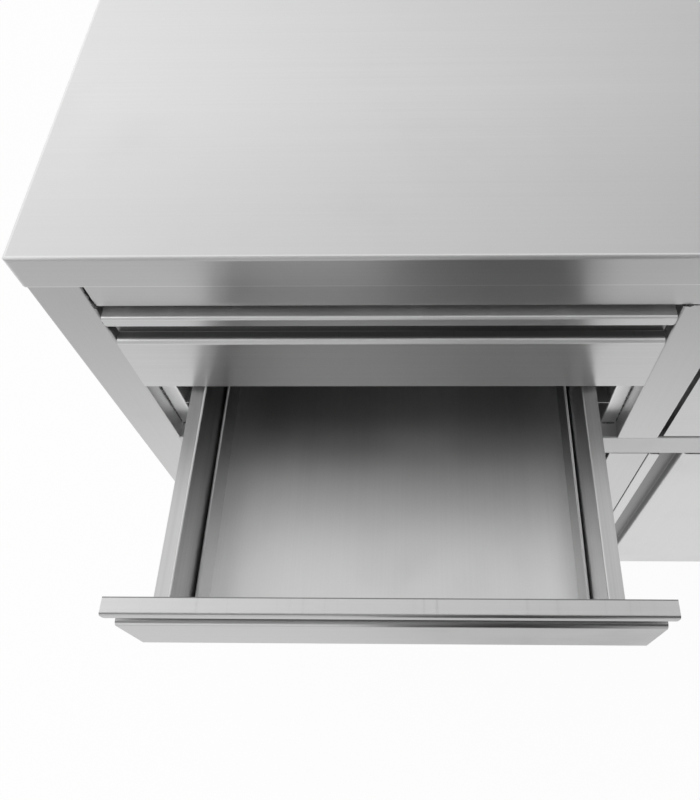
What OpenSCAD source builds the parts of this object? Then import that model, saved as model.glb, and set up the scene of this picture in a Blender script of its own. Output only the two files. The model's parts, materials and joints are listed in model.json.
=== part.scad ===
// Coffee station cabinet: a sheet steel base unit with two drawers and a knock-out
// drawer over two cupboards. The lower left drawer stands drawn out, and the one
// above it is ajar. The front faces -Y, +Z is up and the floor is z = 0. The origin
// is the middle of the footprint, with the drawn-out drawer counted in.

/* [Cabinet] */
// Width across the worktop
cabinet_w = 1200; // [1150:10:1400]
// Depth of the worktop, from its front edge to the wall
cabinet_d = 600; // [580:10:700]
// Height of the worktop above the floor
cabinet_h = 1000; // [960:10:1050]
// Clear height under the body
foot_h = 90; // [70:5:120]
// Thickness of the body's sheet
sheet = 1.2; // [1:0.1:1.5]

/* [Worktop] */
// Thickness of the worktop's sheet
top_sheet = 1.5; // [1.2:0.1:2]
// Height of the worktop's apron
apron_h = 40; // [30:1:50]
// Outer radius of the worktop's folded edges
arris_r = 4; // [3:0.5:6]
// Outer radius of the worktop's corners in plan
corner_r = 5; // [3:0.5:10]
// Distance that the body stands back from the apron's face
body_setback = 5; // [2:1:10]
// Width of each stiffener's channel
stiffener_w = 50; // [30:5:80]
// Depth of each stiffener's channel
stiffener_h = 28; // [15:1:32]
// Width of each stiffener's fixing flange
stiffener_flange = 20; // [10:1:30]
// Distance of the stiffeners from the worktop's front and back edges
stiffener_inset = 200; // [150:10:230]

/* [Front frame] */
// Width of the stiles
stile_w = 48; // [40:1:55]
// Depth of the stiles and rails
stile_d = 20; // [18:1:24]
// Height of the top rail below the apron
top_rail_h = 38.5; // [30:0.5:45]
// Slit between the top rail and the side stiles
rail_slit = 2.5; // [1:0.5:4]
// Clear height of the drawer bays
bay_h = 290; // [280:5:310]
// Height of the middle rail
middle_rail_h = 47; // [40:1:55]
// Shadow gap over the upper centre stile
stile_gap_upper = 0.8; // [0.3:0.1:0.9]
// Shadow gap over the lower centre stile
stile_gap_lower = 0.6; // [0.3:0.1:0.9]
// Width of the flanges folded on panels
flange_w = 20; // [15:1:24]
// Height of the floor panel's folded edges
floor_edge_h = 30; // [20:1:40]
// Distance from the face of the stiles to the floor panel
floor_setback = 25; // [24:1:40]

/* [Grip fronts] */
// Thickness of the drawer fronts and doors
front_t = 16; // [15:0.5:20]
// Sheet thickness of the fronts
front_sheet = 1.2; // [1:0.1:1.5]
// Height of the lip that the fingers pull
lip_h = 14; // [12:1:20]
// Height of the finger groove under the lip
groove_h = 28; // [22:1:34]
// Depth of the finger groove
groove_d = 12.5; // [10:0.5:12.5]
// Outer radius of the lip's upper edge
nose_r = 3; // [2:0.5:5]
// Outer radius of the panel's edge below the groove
ledge_r = 5; // [3:0.5:6]
// Outer radius of the other folds
fold_r = 2; // [1.6:0.1:3]
// Radius of the lip's lower corners
lip_corner_r = 5; // [2:0.5:7]

/* [Drawers] */
// Gap at each side of a drawer front
front_gap_x = 5; // [3:0.5:8]
// Gap above, between and below the left drawer fronts
front_gap_z = 8; // [5:0.5:10]
// Distance that the top drawer stands ajar
top_drawer_out = 8; // [0:1:30]
// Distance that the bottom drawer stands drawn out
bottom_drawer_out = 232; // [0:1:400]
// Space at each side between a drawer box's inner wall and the edge of its bay
box_side_space = 67; // [62:1:80]
// Width of the flange along the top of a drawer side
box_flange_w = 15; // [14.5:0.5:20]
// Length of the drawer boxes
box_l = 480; // [465:5:490]
// Depth of the two left drawer boxes
box_h = 118; // [110:1:124]
// Width of the return that carries the tray
tray_return_w = 18; // [12:1:30]
// Gap between a tray and the box round it
tray_gap = 3.5; // [1:0.5:6]
// Height of a tray's walls
tray_h = 49; // [20:1:55]
// Radius of a tray's corners
tray_r = 6; // [3:0.5:15]

/* [Runners] */
// Length of the telescopic runners
runner_l = 450; // [440:5:455]
// Height of the runners
runner_h = 45.7; // [40:0.1:50]
// Thickness of the runners
runner_t = 12.7; // [12.5:0.1:13.2]
// Sheet thickness of the runners
runner_sheet = 1.2; // [1:0.1:1.3]
// Play between a runner's sliding members
race_gap = 0.4; // [0.3:0.1:0.6]
// Depth of a runner's outer member
race_depth = 10; // [9.5:0.1:10.2]
// Step from the outer member's web to the middle member's
race_step = 2.2; // [1.8:0.1:2.6]
// Setback of the runners behind the drawer fronts
runner_setback = 8; // [6:1:12]
// Depth of a runner's middle line below the top of a left drawer
runner_drop = 62; // [50:1:65]
// Width of a runner post beyond the edge of its stile
post_show = 18; // [10:1:22]
// Depth of a runner post
post_d = 30; // [20:1:40]
// Height of the brackets between posts and runners
bracket_h = 50; // [48:1:54]

/* [Knock-out drawer] */
// Gap under the knock-out drawer's front
knock_gap_bottom = 4; // [3:0.5:8]
// Depth of the knock-out drawer's box
knock_box_h = 230; // [215:5:240]
// Depth of its runners below the top of the drawer
knock_runner_drop = 120; // [100:5:150]
// Radius of the knock bar
bar_r = 10; // [8:0.5:12]
// Thickness of the rubber sleeve on the bar
sleeve_t = 6; // [4:0.5:8]
// Radial play of the sleeve on the bar
sleeve_play = 0.2; // [0.1:0.05:0.4]
// Depth of the bar's middle below the top of the drawer
bar_drop = 36; // [32:1:40]
// Wall of the sockets that hold the bar
socket_wall = 4; // [3:0.5:6]
// Length of the sockets
socket_l = 12; // [8:1:20]
// Thickness of the plates that the sockets stand on
socket_plate_t = 3; // [2:0.5:4]
// Side of those plates
socket_plate_w = 50; // [42:2:60]
// Space at each side between the grounds bin and the drawer's side
bin_side_space = 17; // [14:0.5:40]
// Length of the grounds bin
bin_l = 300; // [250:5:400]
// Height of the grounds bin
bin_h = 165; // [120:5:166]
// Radius of the bin's corners
bin_r = 30; // [15:1:50]
// Wall of the bin
bin_wall = 2; // [1:0.5:3]
// Width of the bin's rim
bin_rim = 8; // [4:1:10]
// Gap between the bin's rim and the front wall of the tray
bin_gap = 1.5; // [0.5:0.5:6]

/* [Doors] */
// Gap between a door and the stile at its hinges
hinge_gap = 3.5; // [3.4:0.1:5]
// Gap at the left door's free edge
left_door_gap = 3.5; // [1:0.5:5]
// Gap at the right door's free edge
right_door_gap = 1.5; // [1:0.5:5]
// Gap above a door
door_gap_top = 3; // [2:0.5:5]
// Gap below a door
door_gap_bottom = 2; // [1:0.5:4]
// Distance of the pivot from the door's hinge edge
pivot_in = 9; // [8:0.5:9]
// Radius of the pivot pins
pivot_r = 4; // [3:0.5:5]
// Radial play of the pins and the knock bar in their bores
pivot_play = 0.05; // [0.02:0.01:0.1]
// Play between a pivot's washer and its plate
washer_play = 0.3; // [0.1:0.1:0.5]
// Radius of the washer on a pivot pin
washer_r = 7; // [6.5:0.5:8]
// Thickness of the pivot plates
pivot_plate_t = 3; // [2:0.5:4]
// Length of the pivot plates along the front
pivot_plate_l = 60; // [50:5:90]
// Reach of the lower pivot plates under the floor panel
pivot_plate_reach = 12; // [6:1:14]
// Radial clearance of the pins in the middle rail
pin_clear = 1; // [0.5:0.1:2]
// Play between a door and its magnet catch
catch_play = 0.4; // [0.3:0.1:0.8]
// Length of a magnet catch
catch_l = 44; // [30:2:60]
// Height of a magnet catch
catch_h = 16; // [10:1:18]

/* [Shelves] */
// Height of the cupboard shelves above the floor
shelf_z = 350; // [250:10:450]
// Setback of the shelves behind the stiles' face
shelf_setback = 80; // [60:5:150]
// Height of the fold on a shelf's edge
shelf_fold = 22; // [15:1:30]
// Play at the ends of a shelf
shelf_play = 0.4; // [0.3:0.1:0.9]
// Length of a shelf's support angles
support_l = 40; // [30:5:60]
// Width of a support angle's legs
support_w = 18; // [12:1:25]

/* [Feet] */
// Side of the square plates over the feet
foot_plate_w = 76; // [60:2:90]
// Thickness of those plates
foot_plate_t = 3; // [2:0.5:5]
// Outer radius of the foot tubes
foot_tube_r = 19; // [15:1:22]
// Wall of the foot tubes
foot_tube_wall = 1.5; // [1:0.1:2]
// Height of the foot tubes' lower ends above the floor
foot_tube_z = 26; // [22:1:40]
// Radius of the foot pads
foot_pad_r = 26; // [22:1:35]
// Thickness of the foot pads
foot_pad_h = 6; // [4:1:8]
// Chamfer round the foot pads
foot_chamfer = 2; // [1:0.5:3]
// Height of the cone between pad and stem
foot_cone_h = 5; // [2:1:8]
// Height of the collar under a foot's tube
foot_collar_h = 4; // [2:1:6]
// Radius of the adjusting stems
foot_stem_r = 12; // [8:1:14]
// Length of a foot's plug in its tube
foot_plug_l = 30; // [20:1:45]
// Play of the plug in its tube
foot_play = 0.1; // [0.05:0.05:0.3]
// Distance of the feet from the sides
foot_inset_x = 62; // [58:1:100]
// Distance of the feet from the face of the stiles and from the back
foot_inset_y = 75; // [70:1:120]
// Spacing of the screws on a foot plate
screw_pitch = 56; // [48:1:56]
// Radius of the screw heads, corner to corner
screw_r = 6; // [4:0.5:7]
// Height of the screw heads
screw_h = 4; // [2:0.5:5]

/* [Hidden] */
$fn = 48;
steel = [0.74, 0.74, 0.74];
dull_steel = [0.62, 0.62, 0.62];
zinc = [0.68, 0.69, 0.70];
rubber = [0.12, 0.12, 0.12];
plastic = [0.16, 0.16, 0.17];

// Reach of a cutter past the face that it opens
past = 1;

// Across the front: the outer sides, the two bays and their middles
side_x = cabinet_w / 2;
inner_x = side_x - sheet;
bay_w = (cabinet_w - 3 * stile_w) / 2;
bay_in = stile_w / 2;
bay_out = side_x - stile_w;
bay_x = (bay_in + bay_out) / 2;

// Front to back: the apron's face, the stiles' face and the back
apron_y = -(cabinet_d - bottom_drawer_out + body_setback) / 2;
face_y = apron_y + body_setback;
frame_y = face_y + stile_d;
floor_y = face_y + floor_setback;
back_y = apron_y + cabinet_d;
back_face_y = back_y - 2 * sheet;

// Heights: under the apron, the drawer bays and the cupboards
apron_z = cabinet_h - apron_h;
bay_top = apron_z - top_rail_h;
bay_z = bay_top - bay_h;
rail_z = bay_z - middle_rail_h;
floor_z = foot_h + floor_edge_h;
hem_w = body_setback + stile_d;

// The fronts
front_w = bay_w - 2 * front_gap_x;
front_h = (bay_h - 3 * front_gap_z) / 2;
ledge_at = lip_h + groove_h;
top_drawer_y = face_y - top_drawer_out;
top_drawer_z = bay_top - front_gap_z;
bottom_drawer_y = face_y - bottom_drawer_out;
bottom_drawer_z = top_drawer_z - front_h - front_gap_z;
knock_front_h = bay_h - front_gap_z - knock_gap_bottom;

// The drawer boxes and their runners
wall_x = bay_w / 2 - box_side_space;
box_top_half = wall_x + box_flange_w;
runner_x = wall_x + sheet + runner_t;
bin_y = front_t + tray_gap + sheet + bin_gap + bin_rim;
bar_y = bin_y + bin_l / 2;
bin_w = 2 * (wall_x - bin_side_space);
middle_h = runner_h - 2 * runner_sheet - 2 * race_gap;
inner_h = middle_h - 2 * runner_sheet - 2 * race_gap;
middle_web = 1.5 * runner_sheet + race_step;
inner_reach = middle_web + 2 * runner_sheet;
bracket_l = runner_l + 2 * runner_setback;
post_x = bay_out - post_show;
post_in_x = bay_in + post_show;

// The doors
door_z = foot_h + door_gap_bottom;
door_h = rail_z - door_gap_top - door_z;
left_door_w = bay_w - hinge_gap - left_door_gap;
right_door_w = bay_w - hinge_gap - right_door_gap;
pivot_x = bay_out - hinge_gap - pivot_in;
pivot_y = face_y + front_t / 2;

// A box between two limits on each axis
module block(x, y, z) {
    translate([x[0], y[0], z[0]]) cube([x[1] - x[0], y[1] - y[0], z[1] - z[0]]);
}

// A section drawn in Y and Z, run along X
module along_x(from, to) {
    translate([from, 0, 0]) rotate([90, 0, 90]) linear_extrude(to - from) children();
}

// A section drawn in X and Z, run along Y
module along_y(from, to) {
    translate([0, to, 0]) rotate([90, 0, 0]) linear_extrude(to - from) children();
}

// A plan drawn in X and Y, raised along Z
module along_z(from, to) {
    translate([0, 0, from]) linear_extrude(to - from) children();
}

// The same piece on both sides of the cabinet
module both_sides() {
    children();
    mirror([1, 0, 0]) children();
}

function unit(v) = v / norm(v);

// One straight flat of a folded sheet, cut short at each end for its bends
module flat_strip(a, b, cut_a, cut_b, t) {
    d = unit(b - a);
    p = a + cut_a * d;
    q = b - cut_b * d;
    half = [abs(d[1]), abs(d[0])] * t / 2;
    low = [min(p[0], q[0]), min(p[1], q[1])] - half;
    high = [max(p[0], q[0]), max(p[1], q[1])] + half;
    translate(low) square(high - low);
}

// One square bend of a folded sheet, with the radius r at its middle line
module bend(a, b, c, r, t) {
    corner = unit(a - b) + unit(c - b);
    reach = r + t / 2;
    intersection() {
        translate(b + r * corner) difference() {
            circle(reach);
            circle(r - t / 2);
        }
        translate(b + (r - reach / 2) * corner) square(reach, center = true);
    }
}

// Section of a folded sheet: its middle line has square corners, one radius for each
module folded(path, radii, t) {
    last = len(path) - 1;
    for (i = [0:last - 1]) {
        cut_a = i == 0 ? 0 : radii[i - 1];
        cut_b = i == last - 1 ? 0 : radii[i];
        flat_strip(path[i], path[i + 1], cut_a, cut_b, t);
    }
    for (i = [1:last - 1]) bend(path[i - 1], path[i], path[i + 1], radii[i - 1], t);
}

// The same, with one outer radius for every bend
module folded_evenly(path, t) {
    folded(path, [for (i = [2:len(path) - 1]) fold_r - t / 2], t);
}

// Rounded rectangle from one corner to the other
module rounded_plan(low, high, r) {
    union() {
        translate([low[0] + r, low[1]]) square([high[0] - low[0] - 2 * r, high[1] - low[1]]);
        translate([low[0], low[1] + r]) square([high[0] - low[0], high[1] - low[1] - 2 * r]);
        for (x = [low[0] + r, high[0] - r]) for (y = [low[1] + r, high[1] - r])
            translate([x, y]) circle(r);
    }
}

// What a round edge takes off a square corner at the origin, with the body at +X, +Y
module corner_waste(r) {
    difference() {
        translate([-past, -past]) square(r + past);
        translate([r, r]) circle(r);
    }
}

// Open-topped tray or bin with round corners
module tray_shape(low, high, z, height, r, wall) {
    difference() {
        along_z(z, z + height) rounded_plan(low, high, r);
        along_z(z + wall, z + height + past)
            rounded_plan(low + [wall, wall], high - [wall, wall], r - wall);
    }
}

// Solid outline of the worktop, drawn in by some distance on every side
module worktop_mass(inset, bottom) {
    x = side_x - inset;
    y0 = apron_y + inset;
    y1 = back_y - inset;
    top = cabinet_h - inset;
    r = arris_r - inset;
    intersection() {
        along_x(-x, x) difference() {
            translate([y0, bottom]) square([y1 - y0, top - bottom]);
            translate([y0, top]) mirror([0, 1]) corner_waste(r);
        }
        along_y(y0, y1) difference() {
            translate([-x, bottom]) square([2 * x, top - bottom]);
            translate([-x, top]) mirror([0, 1]) corner_waste(r);
            translate([x, top]) mirror([0, 1]) mirror([1, 0]) corner_waste(r);
        }
        along_z(bottom, top) rounded_plan([-x, y0], [x, y1], corner_r - inset);
    }
}

// Worktop folded from one sheet: top, apron on all sides and a hem under it
module worktop() {
    color(steel) difference() {
        worktop_mass(0, apron_z);
        worktop_mass(top_sheet, apron_z + top_sheet);
        block(
            [-side_x + hem_w, side_x - hem_w],
            [apron_y + hem_w, back_y - hem_w],
            [apron_z - past, apron_z + top_sheet + past]
        );
    }
}

// Channels with flanges under the worktop's sheet
module worktop_stiffeners() {
    h = top_sheet / 2;
    z = cabinet_h - top_sheet - h;
    w = stiffener_w / 2;
    section = [
        [-w - stiffener_flange, z], [-w, z], [-w, z - stiffener_h],
        [w, z - stiffener_h], [w, z], [w + stiffener_flange, z]
    ];
    x = side_x - top_sheet - arris_r;
    color(dull_steel)
        for (y = [apron_y + stiffener_inset, back_y - stiffener_inset])
            translate([0, y, 0]) along_x(-x, x) folded_evenly(section, top_sheet);
}

// Side wall with the front stile, its return and a flange at the back, in one sheet
module side_panel() {
    h = sheet / 2;
    plan = [
        [bay_out + h, frame_y], [bay_out + h, face_y + h], [side_x - h, face_y + h],
        [side_x - h, back_y - h], [side_x - flange_w, back_y - h]
    ];
    along_z(foot_h, apron_z) folded_evenly(plan, sheet);
}

module side_panel_left() {
    color(steel) mirror([1, 0, 0]) side_panel();
}

module side_panel_right() {
    color(steel) side_panel();
}

// Back sheet between the side walls, with a flange under the worktop
module back_panel() {
    h = sheet / 2;
    section = [
        [back_face_y + h, foot_h], [back_face_y + h, apron_z - h],
        [back_face_y + sheet - flange_w, apron_z - h]
    ];
    x = inner_x - fold_r;
    color(steel) along_x(-x, x) folded_evenly(section, sheet);
}

// Cupboard floor with its four edges folded down, and a tab that closes the hollow of
// the centre stile
module bottom_panel() {
    color(dull_steel) {
        difference() {
            block([-inner_x, inner_x], [floor_y, back_face_y], [foot_h, floor_z]);
            block(
                [-inner_x + sheet, inner_x - sheet],
                [floor_y + sheet, back_face_y - sheet],
                [foot_h - past, floor_z - sheet]
            );
        }
        block(
            [-bay_in + fold_r, bay_in - fold_r],
            [face_y + fold_r, floor_y + past],
            [floor_z - sheet, floor_z]
        );
    }
}

// Front rail with a return above and below
module rail(from, to, low, high) {
    h = sheet / 2;
    section = [
        [frame_y, high - h], [face_y + h, high - h],
        [face_y + h, low + h], [frame_y, low + h]
    ];
    along_x(from, to) folded_evenly(section, sheet);
}

// Rail under the apron, a slit short of the side stiles
module top_rail() {
    color(steel) rail(-bay_out + rail_slit, bay_out - rail_slit, bay_top, apron_z);
}

// Rail between drawers and cupboards, with a hole over each door's pivot
module middle_rail() {
    color(steel) difference() {
        rail(-bay_out, bay_out, rail_z, bay_z);
        both_sides()
            translate([pivot_x, pivot_y, rail_z - past])
                cylinder(r = pivot_r + pin_clear, h = sheet + 2 * past);
    }
}

// Channel that makes the stile between the bays
module centre_stile(low, high) {
    h = sheet / 2;
    plan = [
        [-bay_in + h, frame_y], [-bay_in + h, face_y + h],
        [bay_in - h, face_y + h], [bay_in - h, frame_y]
    ];
    along_z(low, high) folded_evenly(plan, sheet);
}

module centre_stile_upper() {
    color(steel) centre_stile(bay_z, bay_top - stile_gap_upper);
}

module centre_stile_lower() {
    color(steel) centre_stile(foot_h, rail_z - stile_gap_lower);
}

// Wall between the drawer bays, with a flange on the back panel
module partition_upper() {
    h = sheet / 2;
    plan = [[0, frame_y], [0, back_face_y - h], [bay_in, back_face_y - h]];
    color(dull_steel) along_z(bay_z, apron_z - fold_r) folded_evenly(plan, sheet);
}

// Wall between the cupboards, with a flange behind the stile and one on the back panel
module partition_lower() {
    h = sheet / 2;
    plan = [
        [-bay_in, frame_y + h], [0, frame_y + h],
        [0, back_face_y - h], [bay_in, back_face_y - h]
    ];
    color(dull_steel) along_z(floor_z, bay_z - sheet) folded_evenly(plan, sheet);
}

// Sheet between drawers and cupboards, folded down at the sides, with a tab at each end
// that closes the hollow of the side stile
module divider_shelf() {
    color(dull_steel) {
        difference() {
            block([-inner_x, inner_x], [frame_y, back_face_y], [bay_z - flange_w, bay_z]);
            block(
                [-inner_x + sheet, inner_x - sheet],
                [frame_y - past, back_face_y + past],
                [bay_z - flange_w - past, bay_z - sheet]
            );
        }
        both_sides()
            block(
                [bay_out + fold_r, side_x - fold_r],
                [face_y + fold_r, frame_y + past],
                [bay_z - sheet, bay_z]
            );
    }
}

// Plan of one runner post: a channel on a wall, open to the middle of the cabinet's depth
module post_plan(wall, tip) {
    h = sheet / 2;
    s = tip > wall ? 1 : -1;
    plan = [
        [wall + s * h, post_d], [wall + s * h, h],
        [tip - s * h, h], [tip - s * h, post_d]
    ];
    folded_evenly(plan, sheet);
}

// Upright channels on the outer walls and the partition, two for each runner
module runner_posts() {
    color(dull_steel)
        both_sides()
            along_z(bay_z, apron_z - sheet) {
                translate([0, frame_y]) {
                    post_plan(inner_x, post_x);
                    post_plan(sheet / 2, post_in_x);
                }
                translate([0, frame_y + bracket_l]) mirror([0, 1]) {
                    post_plan(inner_x, post_x);
                    post_plan(sheet / 2, post_in_x);
                }
            }
}

// Channel from a post's face to the back of a runner
module bracket(post, runner, z) {
    h = sheet / 2;
    s = post > runner ? 1 : -1;
    top = z + bracket_h / 2 - h;
    low = z - bracket_h / 2 + h;
    section = [[post, top], [runner + s * h, top], [runner + s * h, low], [post, low]];
    along_y(frame_y, frame_y + bracket_l) folded_evenly(section, sheet);
}

// The two brackets of one drawer in the right bay
module bracket_pair(z) {
    bracket(post_x, bay_x + runner_x, z);
    bracket(post_in_x, bay_x - runner_x, z);
}

module runner_brackets() {
    color(dull_steel) {
        mirror([1, 0, 0]) {
            bracket_pair(top_drawer_z - runner_drop);
            bracket_pair(bottom_drawer_z - runner_drop);
        }
        bracket_pair(top_drawer_z - knock_runner_drop);
    }
}

// Sections of the three members of a runner: x runs from its fixed back to the drawer wall
module outer_section() {
    h = runner_sheet / 2;
    z = runner_h / 2 - h;
    folded_evenly([[race_depth, z], [h, z], [h, -z], [race_depth, -z]], runner_sheet);
}

module middle_section() {
    h = runner_sheet / 2;
    z = middle_h / 2 - h;
    w = middle_web;
    folded_evenly([[race_depth - h, z], [w, z], [w, -z], [race_depth - h, -z]], runner_sheet);
}

module inner_section() {
    h = runner_sheet / 2;
    z = inner_h / 2 - h;
    w = runner_t - h;
    folded_evenly([[inner_reach, z], [w, z], [w, -z], [inner_reach, -z]], runner_sheet);
}

// A pair of runner members on a drawer, drawn out by some distance
module runner_pair(x, z, out) {
    y = face_y + front_t + runner_setback - out;
    for (side = [0, 1])
        translate([x, 0, z]) mirror([side, 0, 0]) translate([-runner_x, 0, 0])
            along_y(y, y + runner_l) children();
}

module runner_outer_members() {
    color(zinc) {
        runner_pair(-bay_x, top_drawer_z - runner_drop, 0) outer_section();
        runner_pair(-bay_x, bottom_drawer_z - runner_drop, 0) outer_section();
        runner_pair(bay_x, top_drawer_z - knock_runner_drop, 0) outer_section();
    }
}

// One shelf in each cupboard, folded down and back at its front edge
module cupboard_shelves() {
    h = sheet / 2;
    front = face_y + shelf_setback;
    section = [
        [front + flange_w, shelf_z - shelf_fold], [front + h, shelf_z - shelf_fold],
        [front + h, shelf_z - h], [back_face_y - sheet - shelf_play, shelf_z - h]
    ];
    color(dull_steel)
        both_sides()
            along_x(sheet / 2 + shelf_play, inner_x - shelf_play) folded_evenly(section, sheet);
}

// Angles that carry the shelves on the walls
module support_angle(wall, s) {
    h = sheet / 2;
    z = shelf_z - sheet - h;
    along_y(0, support_l)
        folded_evenly([[wall + s * h, z - support_w], [wall + s * h, z], [wall + s * support_w, z]], sheet);
}

module shelf_supports() {
    front = face_y + shelf_setback + flange_w + support_l / 2;
    back = back_face_y - 2 * support_l;
    color(zinc)
        both_sides()
            for (y = [front, back])
                translate([0, y, 0]) {
                    support_angle(inner_x, -1);
                    support_angle(sheet / 2, 1);
                }
}

// Places one foot's piece at the four feet
module at_feet() {
    for (x = [-side_x + foot_inset_x, side_x - foot_inset_x])
        for (y = [face_y + foot_inset_y, back_y - foot_inset_y])
            translate([x, y, 0]) children();
}

module foot_plates() {
    w = foot_plate_w / 2;
    z = floor_z - sheet;
    color(zinc) at_feet() block([-w, w], [-w, w], [z - foot_plate_t, z]);
}

module foot_tubes() {
    color(steel) at_feet() along_z(foot_tube_z, floor_z - sheet - foot_plate_t) difference() {
        circle(foot_tube_r);
        circle(foot_tube_r - foot_tube_wall);
    }
}

// Pad, stem, collar under the tube and plug inside it
module foot_adjusters() {
    collar = foot_tube_z - foot_collar_h;
    plug = foot_tube_r - foot_tube_wall - foot_play;
    color(plastic) at_feet() rotate_extrude() polygon([
        [0, 0], [foot_pad_r - foot_chamfer, 0], [foot_pad_r, foot_chamfer],
        [foot_pad_r, foot_pad_h], [foot_stem_r, foot_pad_h + foot_cone_h],
        [foot_stem_r, collar], [foot_tube_r, collar],
        [foot_tube_r, foot_tube_z], [plug, foot_tube_z], [plug, foot_tube_z + foot_plug_l],
        [0, foot_tube_z + foot_plug_l]
    ]);
}

module foot_screws() {
    z = floor_z - sheet - foot_plate_t;
    p = screw_pitch / 2;
    color(zinc) at_feet() for (x = [-p, p]) for (y = [-p, p])
        translate([x, y, z - screw_h]) cylinder(r = screw_r, h = screw_h, $fn = 6);
}

// Plates that hold the doors' pins: in the middle rail above and under the body below
module door_pivot_plates() {
    color(zinc) both_sides() {
        pivot_plate([bay_out - pivot_plate_l, bay_out], [face_y + fold_r, frame_y], rail_z + sheet);
        pivot_plate(
            [bay_out - pivot_plate_l, side_x - sheet],
            [face_y + fold_r, floor_y + pivot_plate_reach],
            foot_h - pivot_plate_t
        );
    }
}

module pivot_plate(x, y, z) {
    difference() {
        block(x, y, [z, z + pivot_plate_t]);
        translate([pivot_x, pivot_y, z - past])
            cylinder(r = pivot_r + pivot_play, h = pivot_plate_t + 2 * past);
    }
}

// Magnet catches on the floor panel's front edge, behind the doors' free edges
module magnet_catches() {
    y = face_y + front_t + catch_play;
    x = bay_in + ledge_at;
    z = floor_z - catch_h - sheet;
    color(plastic) both_sides() block([x, x + catch_l], [y, floor_y], [z, z + catch_h]);
}

// Middle line of a grip front's section: depth behind the face, then distance from the lip
function grip_path(run) = let (h = front_sheet / 2) [
    [front_t, h], [h, h], [h, lip_h - h], [groove_d + h, lip_h - h],
    [groove_d + h, ledge_at + h], [h, ledge_at + h], [h, run - h], [front_t, run - h]
];

// Bends of that section, in the same order
grip_radii = let (h = front_sheet / 2) [
    nose_r - h, fold_r - h, fold_r - h, fold_r - h, ledge_r - h, fold_r - h
];

// Outline of a grip front's end, in the same two directions
module grip_end(run) {
    difference() {
        square([front_t, run]);
        translate([-past, lip_h]) square([groove_d + past, groove_h]);
        corner_waste(nose_r);
        translate([0, ledge_at]) corner_waste(ledge_r);
        translate([0, run]) mirror([0, 1]) corner_waste(fold_r);
    }
}

// Grip front: one sheet folded into top, lip, groove, ledge and panel, with closed ends.
// It spans the width along X, its face is y = 0 and it runs down from z = 0.
module grip_front(width, run) {
    difference() {
        union() {
            along_x(0, width) mirror([0, 1]) folded(grip_path(run), grip_radii, front_sheet);
            along_x(0, front_sheet) mirror([0, 1]) grip_end(run);
            along_x(width - front_sheet, width) mirror([0, 1]) grip_end(run);
        }
        along_y(-past, groove_d) {
            translate([0, -lip_h]) corner_waste(lip_corner_r);
            translate([width, -lip_h]) mirror([1, 0]) corner_waste(lip_corner_r);
        }
    }
}

// Sheet that closes the back of a grip front, inside its folded edges
module grip_liner(width, run) {
    s = front_sheet;
    block([s, width - s], [front_t - s, front_t], [-run + s, -s]);
}

// Places a drawer front's piece in its bay
module at_front(x, y, z) {
    translate([x - front_w / 2, y, z]) children();
}

// Drawer side: flange on top, wall and the return that carries the tray
module drawer_side(height) {
    h = sheet / 2;
    section = [
        [-box_top_half, -h], [-wall_x - h, -h],
        [-wall_x - h, -height + h], [-wall_x + tray_return_w, -height + h]
    ];
    along_y(front_t, front_t + box_l) folded_evenly(section, sheet);
}

module drawer_back(height) {
    end = front_t + box_l;
    block([-wall_x, wall_x], [end - sheet, end], [-height + sheet, 0]);
}

module drawer_tray(height) {
    x = wall_x - tray_gap;
    low = [-x, front_t + tray_gap];
    high = [x, front_t + box_l - sheet - tray_gap];
    tray_shape(low, high, -height + sheet, tray_h, tray_r, sheet);
}

module top_drawer_front() {
    color(steel) at_front(-bay_x, top_drawer_y, top_drawer_z) grip_front(front_w, front_h);
}

module top_drawer_liner() {
    color(dull_steel) at_front(-bay_x, top_drawer_y, top_drawer_z) grip_liner(front_w, front_h);
}

module in_top_drawer() {
    translate([-bay_x, top_drawer_y, top_drawer_z]) children();
}

module top_drawer_side_left() {
    color(steel) in_top_drawer() drawer_side(box_h);
}

module top_drawer_side_right() {
    color(steel) in_top_drawer() mirror([1, 0, 0]) drawer_side(box_h);
}

module top_drawer_back() {
    color(steel) in_top_drawer() drawer_back(box_h);
}

module top_drawer_tray() {
    color(steel) in_top_drawer() drawer_tray(box_h);
}

module top_drawer_runner_inner() {
    color(zinc) runner_pair(-bay_x, top_drawer_z - runner_drop, top_drawer_out) inner_section();
}

module top_drawer_runner_middle() {
    color(zinc)
        runner_pair(-bay_x, top_drawer_z - runner_drop, top_drawer_out / 2) middle_section();
}

module bottom_drawer_front() {
    color(steel) at_front(-bay_x, bottom_drawer_y, bottom_drawer_z) grip_front(front_w, front_h);
}

module bottom_drawer_liner() {
    color(dull_steel)
        at_front(-bay_x, bottom_drawer_y, bottom_drawer_z) grip_liner(front_w, front_h);
}

module in_bottom_drawer() {
    translate([-bay_x, bottom_drawer_y, bottom_drawer_z]) children();
}

module bottom_drawer_side_left() {
    color(steel) in_bottom_drawer() drawer_side(box_h);
}

module bottom_drawer_side_right() {
    color(steel) in_bottom_drawer() mirror([1, 0, 0]) drawer_side(box_h);
}

module bottom_drawer_back() {
    color(steel) in_bottom_drawer() drawer_back(box_h);
}

module bottom_drawer_tray() {
    color(steel) in_bottom_drawer() drawer_tray(box_h);
}

module bottom_drawer_runner_inner() {
    color(zinc)
        runner_pair(-bay_x, bottom_drawer_z - runner_drop, bottom_drawer_out) inner_section();
}

module bottom_drawer_runner_middle() {
    color(zinc)
        runner_pair(-bay_x, bottom_drawer_z - runner_drop, bottom_drawer_out / 2)
            middle_section();
}

module knock_drawer_front() {
    color(steel) at_front(bay_x, face_y, top_drawer_z) grip_front(front_w, knock_front_h);
}

module knock_drawer_liner() {
    color(dull_steel) at_front(bay_x, face_y, top_drawer_z) grip_liner(front_w, knock_front_h);
}

module in_knock_drawer() {
    translate([bay_x, face_y, top_drawer_z]) children();
}

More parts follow.
